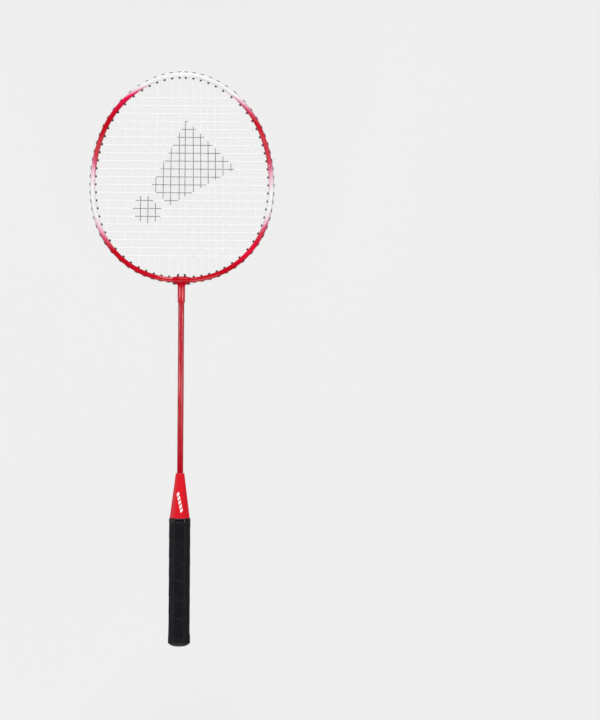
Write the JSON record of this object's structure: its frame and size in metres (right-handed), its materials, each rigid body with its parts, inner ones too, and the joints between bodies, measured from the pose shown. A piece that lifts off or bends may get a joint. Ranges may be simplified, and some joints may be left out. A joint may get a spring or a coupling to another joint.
{
  "type": "badminton racket",
  "caption": "Badminton racket: oval metal head strung with nylon string, T-joint, thin round shaft, tapered cone and an eight-sided wrapped grip.",
  "frame": {"origin": "middle of the flat end face of the butt, on the shaft's axis", "axes": "+X across the head, +Y from the butt along the shaft to the head's tip, +Z square to the string bed; the racket lies flat"},
  "size_m": [0.2124, 0.6607, 0.023],
  "materials": {
    "rim_paint": "gloss red paint with white bands over an aluminium tube",
    "joint_paint": "gloss red paint on the T-joint",
    "shaft_paint": "gloss red paint on a steel tube",
    "cone_plastic": "gloss red moulded plastic",
    "plug_plastic": "grey moulded plastic",
    "handle_wood": "plain sanded wood",
    "grip": "black soft grip tape, matte",
    "band": "black glossy tape",
    "cap": "black moulded plastic",
    "grommet_nylon": "black nylon",
    "string": "natural white nylon string"
  },
  "bodies": {
    "root": {"head_frame": "rim_paint", "frame_plug": "plug_plastic", "t_joint": "joint_paint", "shaft": "shaft_paint", "cone": "cone_plastic", "handle_core": "handle_wood", "grip_wrap": "grip", "finishing_band": "band", "butt_cap": "cap", "grommets_top": "grommet_nylon", "grommets_left": "grommet_nylon", "grommets_right": "grommet_nylon", "grommets_bottom": "grommet_nylon", "throat_grommets": "grommet_nylon", "main_string": "string", "cross_string": "string", "knots": "string"}
  },
  "joints": []
}
